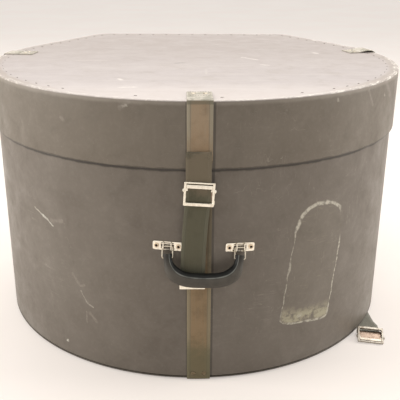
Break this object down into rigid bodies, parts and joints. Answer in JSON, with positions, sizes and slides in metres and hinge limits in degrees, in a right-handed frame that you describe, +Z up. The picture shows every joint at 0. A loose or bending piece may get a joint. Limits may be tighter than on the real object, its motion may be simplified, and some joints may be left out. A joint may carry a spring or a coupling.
{
  "type": "drum case",
  "caption": "Round fibre drum case with a flat foot, a lift-off lid with a deep skirt, webbing straps with clamp buckles and a hanging carrying handle.",
  "frame": {"origin": "centre of the body's round side at the underside of the base, on the floor", "axes": "+Z up, out of the lid; -Y towards the handle and the front strap; +Y towards the flat foot"},
  "size_m": [0.7699, 0.7933, 0.474],
  "materials": {
    "fibre": "worn satin vulcanised fibre",
    "lid_fibre": "dusty satin vulcanised fibre",
    "khaki_webbing": "faded cotton webbing",
    "olive_webbing": "cotton webbing",
    "nickel": "warm worn nickel plate",
    "rivet": "tarnished",
    "grip": "black, worn"
  },
  "bodies": {
    "body": {"body_wall": "fibre", "base_panel": "fibre", "wall_seam_rivet_1": "rivet", "wall_seam_rivet_2": "rivet", "wall_seam_rivet_3": "rivet", "front_body_strap": "khaki_webbing", "left_body_strap": "khaki_webbing", "right_body_strap": "khaki_webbing", "front_base_rivet_1": "rivet", "front_base_rivet_2": "rivet", "left_base_rivet_1": "rivet", "left_base_rivet_2": "rivet", "right_base_rivet_1": "rivet", "right_base_rivet_2": "rivet", "front_buckle_frame": "nickel", "left_buckle_frame": "nickel", "handle_plate_left": "nickel", "handle_plate_right": "nickel", "handle_left_rivet_1": "rivet", "handle_left_rivet_2": "rivet", "handle_right_rivet_1": "rivet", "handle_right_rivet_2": "rivet"},
    "lid": {"lid_panel": "lid_fibre", "lid_skirt": "fibre", "skirt_seam_rivet_1": "rivet", "skirt_seam_rivet_2": "rivet", "front_lid_strap": "khaki_webbing", "left_lid_strap": "khaki_webbing", "right_lid_strap": "khaki_webbing", "front_lid_rivet_1": "rivet", "front_lid_rivet_2": "rivet", "left_lid_rivet_1": "rivet", "left_lid_rivet_2": "rivet", "right_lid_rivet_1": "rivet", "right_lid_rivet_2": "rivet", "front_tongue": "olive_webbing", "left_tongue": "olive_webbing", "front_strap_tip": "nickel", "left_strap_tip": "nickel"},
    "loose_tongue": {"right_tongue": "olive_webbing", "right_strap_tip": "nickel"},
    "front_clamp": {"front_buckle_clamp": "nickel"},
    "left_clamp": {"left_buckle_clamp": "nickel"},
    "loose_buckle": {"right_buckle_frame": "nickel"},
    "right_clamp": {"right_buckle_clamp": "nickel"},
    "handle": {"handle_grip": "grip", "handle_loop_left": "nickel", "handle_loop_right": "nickel"}
  },
  "joints": [
    {"name": "lid_lift", "type": "slide", "parent": "body", "child": "lid", "axis": [0, 0, 1], "range_m": [0, 0.31]},
    {"name": "loose_tongue_swing", "type": "hinge", "parent": "lid", "child": "loose_tongue", "pos_m": [0.36801, 0.10206, 0.3733], "axis": [0.2672, -0.9636, 0], "range_deg": [0, 100]},
    {"name": "front_clamp_swing", "type": "hinge", "parent": "body", "child": "front_clamp", "pos_m": [-0.00046, -0.3878, 0.33749], "axis": [0.9981, 0, -0.061], "range_deg": [0, 100]},
    {"name": "left_clamp_swing", "type": "hinge", "parent": "body", "child": "left_clamp", "pos_m": [-0.38183, 0.0678, 0.33749], "axis": [-0.1733, -0.983, -0.061], "range_deg": [0, 100]},
    {"name": "loose_buckle_flip", "type": "hinge", "parent": "body", "child": "loose_buckle", "pos_m": [0.3211, -0.2403, 0.0034], "axis": [-0.9903, 0.1392, 0], "range_deg": [0, 55]},
    {"name": "right_clamp_swing", "type": "hinge", "parent": "loose_buckle", "child": "right_clamp", "pos_m": [0.31784, -0.26111, 0.00599], "axis": [-0.9803, 0.1969, 0.0171], "range_deg": [0, 100]},
    {"name": "handle_swing", "type": "hinge", "parent": "body", "child": "handle", "pos_m": [0.00739, -0.3749, 0.241], "axis": [-0.9993, -0.0197, 0.0332], "range_deg": [0, 125]}
  ]
}
